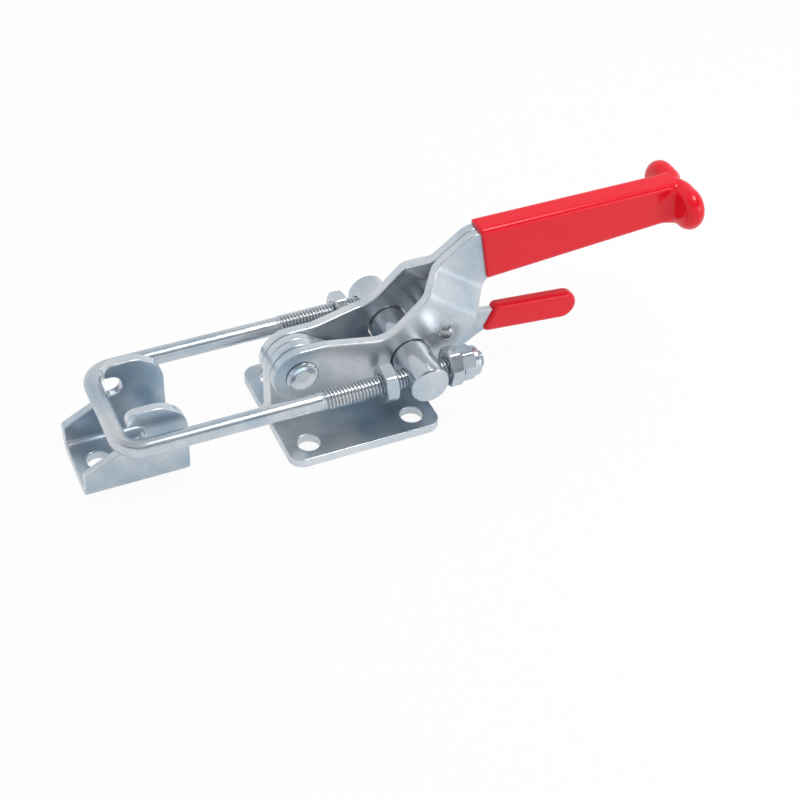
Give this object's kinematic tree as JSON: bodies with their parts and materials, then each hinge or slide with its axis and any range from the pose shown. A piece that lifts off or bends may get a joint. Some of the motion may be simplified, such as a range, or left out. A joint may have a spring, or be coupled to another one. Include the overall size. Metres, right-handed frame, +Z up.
{
  "type": "toggle latch",
  "caption": "Toggle latch: riveted base brackets, joggled handle with dipped end-bar grip, threaded U-bolt on a trunnion, nuts, lock lever, and a hooked latch plate.",
  "frame": {"origin": "middle of the base's four bolt holes, on the mounting plane", "axes": "+X along the latch towards the handle's end, -X towards the latch plate, +Z up from the mounting plane, Y across; the drawn pose is closed"},
  "size_m": [0.2627, 0.065, 0.074],
  "materials": {
    "zinc_sheet": "zinc-plated pressed sheet, satin",
    "zinc_blue": "blue-tinted zinc-plated sheet, satin",
    "zinc_rod": "zinc-plated rod and turned steel, bright",
    "zinc_nut": "zinc-plated nut, satin",
    "rivet_steel": "plated rivet steel, bright",
    "spring_steel": "spring wire, bright",
    "nylon": "natural nylon",
    "red_vinyl": "dipped vinyl, glossy"
  },
  "bodies": {
    "base": {"base_bracket_near": "zinc_sheet", "base_bracket_far": "zinc_sheet", "pivot_rivet": "rivet_steel", "latch_plate": "zinc_blue"},
    "handle": {"handle_plate_near": "zinc_sheet", "handle_plate_far": "zinc_sheet", "handle_grip": "red_vinyl", "lever_rivet": "rivet_steel", "lever_spacer_near": "zinc_rod", "lever_spacer_far": "zinc_rod", "lever_spring": "spring_steel"},
    "u_bolt": {"trunnion": "zinc_rod", "u_bolt": "zinc_rod", "front_nut_near": "zinc_nut", "front_nut_far": "zinc_nut", "rear_nut_near": "zinc_nut", "rear_nut_far": "zinc_nut", "lock_nut_near": "zinc_nut", "lock_nut_far": "zinc_nut", "nylon_ring_near": "nylon", "nylon_ring_far": "nylon"},
    "lock_lever": {"lock_lever": "zinc_sheet", "lever_grip": "red_vinyl"}
  },
  "joints": [
    {"name": "handle_swing", "type": "hinge", "parent": "base", "child": "handle", "pos_m": [-0.0196, 0, 0.027], "axis": [0, -1, 0], "range_deg": [0, 130]},
    {"name": "u_bolt_swing", "type": "hinge", "parent": "handle", "child": "u_bolt", "pos_m": [0.0246, 0, 0.027], "axis": [0, -1, 0], "range_deg": [-130, 0]},
    {"name": "lock_lever_squeeze", "type": "hinge", "parent": "handle", "child": "lock_lever", "pos_m": [0.0401, 0, 0.0344], "axis": [0, -1, 0], "range_deg": [-4, 8], "stiffness_Nm_per_rad": 0.4, "springref_deg": -20.05}
  ],
  "couplings": [
    {"joint": "u_bolt_swing", "follows": "handle_swing", "ratio": -1}
  ]
}
